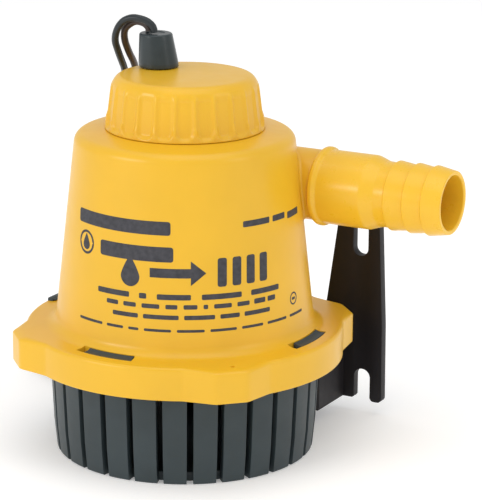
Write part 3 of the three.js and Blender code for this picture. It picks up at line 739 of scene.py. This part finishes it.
def build_ring_seal(name, centre, height, section, node, body, sideways=False):
    turns = [TAU * k / 20 for k in range(20)]
    path = [(centre + section * math.cos(a), height + section * math.sin(a)) for a in turns]
    seal = revolve(name, path, 96)
    if sideways:
        shifted(along_x(seal), 0, OUTLET_Y, OUTLET_Z)
    return finished(seal, "seal_rubber", body, (node,))


def build_impeller():
    hub_path = filleted([(1.9, 34.2, 0.1), (4.6, 34.2, 0.4), (4.6, 45.2, 0.3), (1.9, 45.2, 0.1)])
    disc_path = filleted([(3.0, 42.6, 0), (20, 42.6, 0.5), (20, 44.4, 0.5), (3.0, 44.4, 0)])
    hub = join(revolve("wheel", hub_path, 48), revolve("shroud", disc_path, 120))
    vanes, sweep, root, half_thick = 6, 70, 4.0, 0.8
    reach = 15.6
    radii = np.linspace(root, root + reach, 22)

    def vane_edge(start, offset):
        return [polar(r, start - sweep * (r - root) / reach + math.degrees(offset / r)) for r in radii]

    for i in range(vanes):
        start = 360 / vanes * i
        outline = vane_edge(start, -half_thick) + vane_edge(start, half_thick)[::-1]
        join(hub, prism("vane", outline, 34.2, 43.2))
    bevelled(hub, 0.2, 40, 2)
    return finished(hub, "white_plastic", "rotor", ("impeller",))


def build_intake_plate():
    path = filleted([
        (11.5, 30.6, 0.4), (36.3, 30.6, 0.3), (36.3, 33.0, 0.3), (13.0, 33.0, 0.8), (11.5, 32.2, 0.4),
    ])
    plate = revolve("intake", path, 120)
    for angle in PLATE_SCREWS:
        x, y = polar(PLATE_SCREW_R, angle)
        cut(plate, shifted(rod("hole", 1.5, 30, 34, 20), x, y, 0))
    return finished(plate, "slate_plastic", "housing", ("intake_plate",))


# ------------------------------------------------------------------ leads
LEAD_ROUTES = {
    "black": [
        (-12.3, 2.8, 126.7), (-12.6, 2.7, 128.3), (-14.1, 2.3, 129.8), (-16.5, 1.8, 130.6),
        (-19.3, 1.5, 130.7), (-22.0, 1.3, 129.6), (-24.2, 1.5, 127.3), (-25.7, 2.3, 124.4),
        (-26.3, 3.3, 122.2), (-26.5, 4.6, 120.2), (-26.9, 6.6, 117.7), (-27.6, 9.2, 115.1),
        (-28.5, 11.9, 112.7), (-30.4, 15.5, 109.6), (-33.3, 19.5, 105.1), (-36.6, 23.3, 99.5),
        (-39.2, 26.4, 92.9), (-42.2, 30.4, 80.0), (-43.4, 32.6, 64.0), (-43.6, 33.2, 46.0),
        (-43.8, 33.6, 28.0), (-44.0, 34.2, 16.0), (-44.1, 35.4, 8.8), (-44.3, 37.8, 4.2),
        (-44.8, 41.6, 1.8), (-45.2, 45.6, 1.2),
    ],
    "brown": [
        (-14.9, 4.2, 126.7), (-15.1, 4.2, 127.6), (-16.1, 4.2, 128.6), (-17.8, 4.1, 129.2),
        (-19.9, 4.0, 129.1), (-21.8, 3.9, 128.0), (-23.3, 4.2, 126.6), (-24.2, 5.0, 124.7),
        (-24.6, 6.1, 122.4), (-25.0, 8.0, 120.0), (-25.5, 10.4, 117.5), (-26.2, 13.3, 115.1),
        (-27.3, 16.3, 112.6), (-29.2, 19.6, 109.3), (-32.1, 23.1, 105.2), (-35.3, 26.4, 99.8),
        (-38.1, 29.4, 93.1), (-40.6, 33.0, 80.0), (-41.4, 35.2, 64.0), (-41.6, 35.8, 46.0),
        (-41.8, 36.2, 30.0), (-42.2, 36.8, 20.0), (-42.8, 37.8, 13.0), (-43.6, 39.6, 9.0),
        (-44.6, 42.6, 6.6), (-45.2, 46.0, 5.8),
    ],
}
COIL_PITCH = 2.25
COIL_INNER = 10.6
COIL_COLUMNS = 4
COIL_START = 7.6                  # degrees round the coil where the leads join it


def coil_points(layer):
    """Two layers of turns, wound inwards then outwards, one step sideways or up per turn."""
    points = []
    low = LEAD_D / 2 + 0.06 + COIL_PITCH * layer
    for turn in range(2 * COIL_COLUMNS):
        inward = turn < COIL_COLUMNS
        column = COIL_COLUMNS - 1 - turn if inward else turn - COIL_COLUMNS
        following = max(0, column - 1) if inward else min(COIL_COLUMNS - 1, column + 1)
        climbing = turn == COIL_COLUMNS - 1
        for k in range(36):
            share = max(0.0, (k - 31) / 5.0)
            ease = share * share * (3 - 2 * share)
            r = COIL_INNER + COIL_PITCH * (column + (following - column) * (0 if climbing else ease))
            z = low + COIL_PITCH * (0 if inward else 1) + (COIL_PITCH * ease if climbing else 0)
            x, y = polar(r, COIL_START + 10.0 * k)
            points.append((COIL_CENTRE[0] + x, COIL_CENTRE[1] + y, z))
    return points


def smooth_line(points, spacing):
    """A centripetal Catmull-Rom line through the points, resampled at even spacing."""
    p = np.array(points, float)
    p = np.vstack((2 * p[0] - p[1], p, 2 * p[-1] - p[-2]))
    fine = []
    for i in range(1, len(p) - 2):
        t = [0.0]
        for a, b in ((i - 1, i), (i, i + 1), (i + 1, i + 2)):
            t.append(t[-1] + math.sqrt(np.linalg.norm(p[b] - p[a])))
        for s in np.linspace(t[1], t[2], 12, endpoint=False):
            a1 = (t[1] - s) / (t[1] - t[0]) * p[i - 1] + (s - t[0]) / (t[1] - t[0]) * p[i]
            a2 = (t[2] - s) / (t[2] - t[1]) * p[i] + (s - t[1]) / (t[2] - t[1]) * p[i + 1]
            a3 = (t[3] - s) / (t[3] - t[2]) * p[i + 1] + (s - t[2]) / (t[3] - t[2]) * p[i + 2]
            b1 = (t[2] - s) / (t[2] - t[0]) * a1 + (s - t[0]) / (t[2] - t[0]) * a2
            b2 = (t[3] - s) / (t[3] - t[1]) * a2 + (s - t[1]) / (t[3] - t[1]) * a3
            fine.append((t[2] - s) / (t[2] - t[1]) * b1 + (s - t[1]) / (t[2] - t[1]) * b2)
    fine = np.array(fine + [p[-2]])
    run = np.concatenate(([0], np.cumsum(np.linalg.norm(np.diff(fine, axis=0), axis=1))))
    at = np.arange(0, run[-1], spacing)
    return np.column_stack([np.interp(at, run, fine[:, k]) for k in range(3)])


def tube(name, line, diameter, sides=16):
    """A closed round tube along a line, its ends drawn out to a very blunt point."""
    line = np.array(line, float)
    ways = np.gradient(line, axis=0)
    ways /= np.linalg.norm(ways, axis=1)[:, None]
    normal = np.cross(ways[0], (0.3, 0.9, 0.2))
    normal /= np.linalg.norm(normal)
    verts, faces = [], []
    for point, way in zip(line, ways):
        normal = normal - way * (normal @ way)
        normal /= np.linalg.norm(normal)
        side = np.cross(way, normal)
        for k in range(sides):
            a = TAU * k / sides
            verts.append(tuple(point + diameter / 2 * (math.cos(a) * normal + math.sin(a) * side)))
    count = len(line)
    for i in range(count - 1):
        for k in range(sides):
            n = (k + 1) % sides
            faces.append((i * sides + k, i * sides + n, (i + 1) * sides + n, (i + 1) * sides + k))
    verts += [tuple(line[0] - ways[0] * 0.1), tuple(line[-1] + ways[-1] * 0.1)]
    for k in range(sides):
        n = (k + 1) % sides
        faces.append((len(verts) - 2, n, k))
        faces.append((len(verts) - 1, (count - 1) * sides + k, (count - 1) * sides + n))
    return mesh_object(name, verts, faces)


def build_lead(colour, layer):
    line = smooth_line(LEAD_ROUTES[colour] + coil_points(layer), 0.9)
    run = np.concatenate(([0], np.cumsum(np.linalg.norm(np.diff(line, axis=0), axis=1))))
    line = line[run <= LEAD_LENGTH]
    lead = tube(f"lead_wire_{colour}", line, LEAD_D)
    stands_for = ("lead_black", "lead_coil") if colour == "black" else (f"lead_{colour}",)
    finished(lead, f"{colour}_insulation", None, stands_for)
    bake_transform(lead)
    way = line[-1] - line[-3]
    way /= np.linalg.norm(way)
    tip = tube(f"lead_tip_{colour}", [line[-1] + way * s for s in np.linspace(-0.5, 6.0, 8)], 1.15, 12)
    finished(tip, f"{colour}_insulation", "housing", mat=TINNED)
    return lead


def build_tie():
    """A flat nylon tie round one side of the coil, with its head on top."""
    outline = filleted([(8.9, 0.02, 0.6), (19.1, 0.02, 0.6), (19.1, 9.9, 1.2), (8.9, 9.9, 1.2)], step=10)
    inner = filleted([(9.3, 0.28, 0.4), (18.7, 0.28, 0.4), (18.7, 9.4, 0.9), (9.3, 9.4, 0.9)], step=10)
    band = spun(prism("tie", outline, -1.6, 1.6), 90, "X")
    cut(band, spun(prism("hollow", inner, -3, 3), 90, "X"))
    join(band, slab("head", 12.0, 15.6, -2.2, 2.2, 9.3, 10.1))
    bevelled(band, 0.15, 40, 2)
    shifted(spun(band, 40), *COIL_CENTRE, 0)
    return finished(band, "black_plastic", "housing", ("coil_tie",))


# ------------------------------------------------------------------ printed marks
FRONT = -60.0                     # direction of the printed side, degrees round the pump


def wrapped(name, strips):
    """Thin ink on the tapered wall. Each strip is a list of (along, low, high): arc length from the printed
    side's middle, and the heights that the ink covers there."""
    verts, faces = [], []
    sunk, proud = -0.12, 0.045

    def place(s, z, lift):
        angle = FRONT + math.degrees(s / wall_radius(z))
        return (*polar(wall_radius(z) + lift, angle), z)

    for strip in strips:
        base = len(verts)
        for s, low, high in strip:
            high = max(high, low + 0.02)
            verts += [place(s, low, sunk), place(s, high, sunk)]
            verts += [place(s, high, proud), place(s, low, proud)]
        for i in range(len(strip) - 1):
            a, b = base + 4 * i, base + 4 * (i + 1)
            faces += [(a + k, a + (k + 1) % 4, b + (k + 1) % 4, b + k) for k in range(4)]
        last = base + 4 * (len(strip) - 1)
        faces += [(base + 3, base + 2, base + 1, base), (last, last + 1, last + 2, last + 3)]
    return finished(mesh_object(name, verts, faces), "black_plastic", "housing", mat=INK)


def bar(s0, s1, low, high, corner=None):
    """A bar with rounded ends."""
    r = min((high - low) / 2, (s1 - s0) / 2, corner if corner is not None else 99)
    steps = [s0 + r * (1 - math.cos(math.pi / 2 * k / 4)) for k in range(5)]
    steps += list(np.linspace(s0 + r, s1 - r, max(2, int((s1 - s0) / 0.8)))[1:-1])
    steps += [s1 - r * (1 - math.cos(math.pi / 2 * k / 4)) for k in range(4, -1, -1)]
    strip = []
    for s in steps:
        inset = max(0.0, r - min(s - s0, s1 - s))
        trim = r - math.sqrt(max(0.0, r * r - inset * inset))
        strip.append((s, low + trim, high - trim))
    return strip


def words(s0, s1, low, high, lengths, gap):
    """A row of plain bars of uneven length, standing for a line of small print."""
    scale = (s1 - s0 - gap * (len(lengths) - 1)) / sum(lengths)
    out, s = [], s0
    for length in lengths:
        out.append(bar(s, s + length * scale, low, high, 0.35))
        s += length * scale + gap
    return out


def drop(s, low, high):
    """A water drop: a round foot that draws up to a point."""
    r = (high - low) * 0.33
    middle = low + r
    strip = []
    for k in range(-10, 11):
        x = r * math.sin(math.pi / 2 * k / 10)
        foot = middle - math.sqrt(max(0.0, r * r - x * x))
        crown = middle + (high - middle) * (1 - abs(x) / r) ** 0.75
        crown = max(crown, middle + 0.35 * math.sqrt(max(0.0, r * r - x * x)))
        strip.append((s + x, foot, crown))
    return strip


def arrow(s0, s1, low, high):
    """A plain flow arrow that points right."""
    middle, half = (low + high) / 2, (high - low) / 2
    neck = s1 - half * 1.25
    shaft = [(s, middle - half * 0.38, middle + half * 0.38) for s in np.linspace(s0, neck, 8)]
    head = []
    for t in np.linspace(0, 1, 6):
        head.append((neck + (s1 - neck) * t, middle - half * (1 - t), middle + half * (1 - t)))
    return shaft + head


def ring_mark(s, middle, outer, inner):
    """An open ring, as two half strips."""
    out = []
    for side in (1, -1):
        strip = []
        for k in range(-12, 13):
            x = outer * math.sin(math.pi / 2 * k / 12)
            far = math.sqrt(max(0.0, outer ** 2 - x * x))
            near = math.sqrt(max(0.0, inner ** 2 - x * x)) if abs(x) < inner else 0.0
            low, high = (middle + near, middle + far) if side > 0 else (middle - far, middle - near)
            strip.append((s + x, low, high))
        out.append(strip)
    return out


def add_print():
    wrapped("print_emblem", ring_mark(-33.6, 69.8, 3.5, 2.8) + [drop(-33.6, 67.6, 72.4)])
    wrapped("print_heading", [bar(-37.6, -4.2, 75.2, 79.2, 0.8), bar(-27.2, -3.4, 67.4, 71.8, 0.8)])
    strokes = [bar(9.6 + 4.6 * k, 12.4 + 4.6 * k, 60.0, 68.4, 0.7) for k in range(4)]
    wrapped("print_flow", [drop(-16.6, 59.6, 68.8), arrow(-10.4, 6.2, 60.6, 67.8), *strokes])
    small = words(-28.0, 31.0, 56.4, 58.0, (5, 1, 4.5, 5.5, 4.8), 3.2)
    small += words(-24.6, 19.8, 53.7, 55.0, (3, 3, 4, 2.6, 3, 1, 4, 3), 1.8)
    small += words(21.4, 29.4, 53.7, 55.2, (4, 3), 0.9)
    small += words(-22.4, 27.2, 50.6, 51.9, (5.5, 7, 6, 4, 6), 1.6)
    small += words(-36.0, 43.6, 46.9, 47.7, (6, 3.5, 2, 5, 5, 5, 4.5, 5, 4.6), 1.7)
    small += words(17.6, 34.6, 76.6, 78.4, (5, 3), 1.4) + words(36.2, 43.8, 76.0, 78.0, (4,), 1)
    wrapped("print_small", small)
    wrapped("print_mark", ring_mark(38.4, 52.0, 1.9, 1.45) + [bar(37.5, 39.3, 51.6, 52.4, 0.3)])


# ------------------------------------------------------------------ carried-over frame pieces
def dress_frame():
    """Gives every CAD node that still shows the procedural finish of its material slot."""
    slots = {row["node"]: row["material_slot"] for row in frame["record"]["subparts"]}
    for node, obj in NODES.items():
        obj.data.materials.clear()
        obj.data.materials.append(MATERIALS[slots[node]])


# ------------------------------------------------------------------ the whole
add_camera()
add_studio()
add_floor()
dress_frame()
build_lead("black", 0)
build_lead("brown", 2)
build_tie()
build_strainer()
build_bracket()
build_latch()
build_housing()
build_barb()
build_cap()
build_gland()
build_casing()
build_ring_seal("cartridge_seal", 21.35, 95.7, 0.55, "cartridge_o_ring", "cartridge")
build_ring_seal("barb_seal", 7.25, 29.7, 0.6, "barb_o_ring", "housing", sideways=True)
build_impeller()
build_intake_plate()
add_print()
